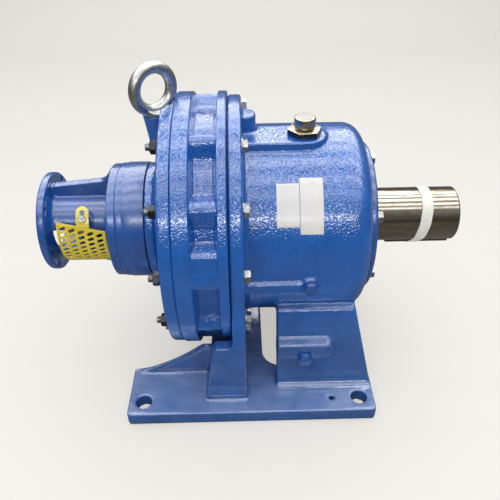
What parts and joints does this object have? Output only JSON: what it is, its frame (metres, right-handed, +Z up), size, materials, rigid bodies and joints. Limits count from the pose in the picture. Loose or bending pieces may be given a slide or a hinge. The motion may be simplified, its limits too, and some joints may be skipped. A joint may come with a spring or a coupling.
{
  "type": "cycloidal_reducer",
  "caption": "Foot mounted cycloidal reducer with a motor adapter, a lobed ring gear housing, a round cast casing on legs and a keyed output shaft",
  "frame": {"origin": "centre of the foot hole pattern on the underside of the foot", "axes": "+X along the shafts towards the output end, +Z up, +Y across the foot"},
  "size_m": [0.6055, 0.418, 0.456],
  "materials": {
    "paint": "gloss",
    "steel": "satin",
    "shaft_steel": "satin",
    "dark_steel": "satin",
    "zinc": "satin",
    "brass": "satin",
    "gasket": "matte",
    "rubber": "matte",
    "guard_paint": "gloss"
  },
  "bodies": {
    "housing": {"casing": "paint", "ring_gear_2": "paint", "middle_cover": "paint", "ring_gear_1": "paint", "input_cover": "paint", "motor_adapter": "paint", "output_cover": "paint", "level_plug": "paint", "drain_plug": "paint", "ring_pins_2": "steel", "ring_pins_1": "steel", "output_gasket": "gasket", "casing_gasket": "gasket", "middle_gasket": "gasket", "casing_bolts": "zinc", "casing_nuts": "dark_steel", "output_cover_screws": "zinc", "adapter_screws": "dark_steel", "lifting_eye": "zinc", "vent_body": "brass", "vent_cap": "steel", "guard": "guard_paint", "guard_screws": "zinc", "input_bearing_outer": "steel", "middle_bearing_outer": "steel", "rear_bearing_outer": "steel", "front_bearing_outer": "steel", "input_seal": "rubber", "output_seal": "rubber", "disc_spacer_1": "steel", "disc_spacer_2": "steel"},
    "input_body": {"input_shaft": "steel", "input_eccentric": "dark_steel", "eccentric_rollers_1a": "steel", "eccentric_rollers_1b": "steel", "input_bearing_inner": "steel", "input_bearing_rollers": "steel", "pilot_rollers_1": "steel"},
    "disc_1a_body": {"disc_1a": "steel"},
    "disc_1b_body": {"disc_1b": "steel"},
    "intermediate_body": {"intermediate_shaft": "steel", "carrier_pins_1": "steel", "carrier_rollers_1": "dark_steel", "intermediate_eccentric": "dark_steel", "eccentric_rollers_2a": "steel", "eccentric_rollers_2b": "steel", "middle_bearing_inner": "steel", "middle_bearing_rollers": "steel", "pilot_rollers_2": "steel"},
    "disc_2a_body": {"disc_2a": "steel"},
    "disc_2b_body": {"disc_2b": "steel"},
    "output_body": {"output_shaft": "shaft_steel", "carrier_pins_2": "steel", "carrier_rollers_2": "dark_steel", "output_key": "dark_steel", "rear_bearing_inner": "steel", "rear_bearing_rollers": "steel", "front_bearing_inner": "steel", "front_bearing_rollers": "steel"}
  },
  "joints": [
    {"name": "input_spin", "type": "hinge", "parent": "housing", "child": "input_body", "pos_m": [0, 0, 0.22], "axis": [1, 0, 0], "continuous": true},
    {"name": "disc_1a_spin", "type": "hinge", "parent": "input_body", "child": "disc_1a_body", "pos_m": [0, 0.0028, 0.22], "axis": [1, 0, 0], "continuous": true},
    {"name": "disc_1b_spin", "type": "hinge", "parent": "input_body", "child": "disc_1b_body", "pos_m": [0, -0.0028, 0.22], "axis": [1, 0, 0], "continuous": true},
    {"name": "intermediate_spin", "type": "hinge", "parent": "housing", "child": "intermediate_body", "pos_m": [0, 0, 0.22], "axis": [1, 0, 0], "continuous": true},
    {"name": "disc_2a_spin", "type": "hinge", "parent": "intermediate_body", "child": "disc_2a_body", "pos_m": [0, 0.006, 0.22], "axis": [1, 0, 0], "continuous": true},
    {"name": "disc_2b_spin", "type": "hinge", "parent": "intermediate_body", "child": "disc_2b_body", "pos_m": [0, -0.006, 0.22], "axis": [1, 0, 0], "continuous": true},
    {"name": "output_spin", "type": "hinge", "parent": "housing", "child": "output_body", "pos_m": [0, 0, 0.22], "axis": [1, 0, 0], "continuous": true}
  ],
  "couplings": [
    {"joint": "disc_1a_spin", "follows": "input_spin", "ratio": -1.0909},
    {"joint": "disc_1b_spin", "follows": "input_spin", "ratio": -1.0909},
    {"joint": "intermediate_spin", "follows": "input_spin", "ratio": -0.090909},
    {"joint": "disc_2a_spin", "follows": "input_spin", "ratio": 0.099174},
    {"joint": "disc_2b_spin", "follows": "input_spin", "ratio": 0.099174},
    {"joint": "output_spin", "follows": "input_spin", "ratio": 0.0082645}
  ]
}
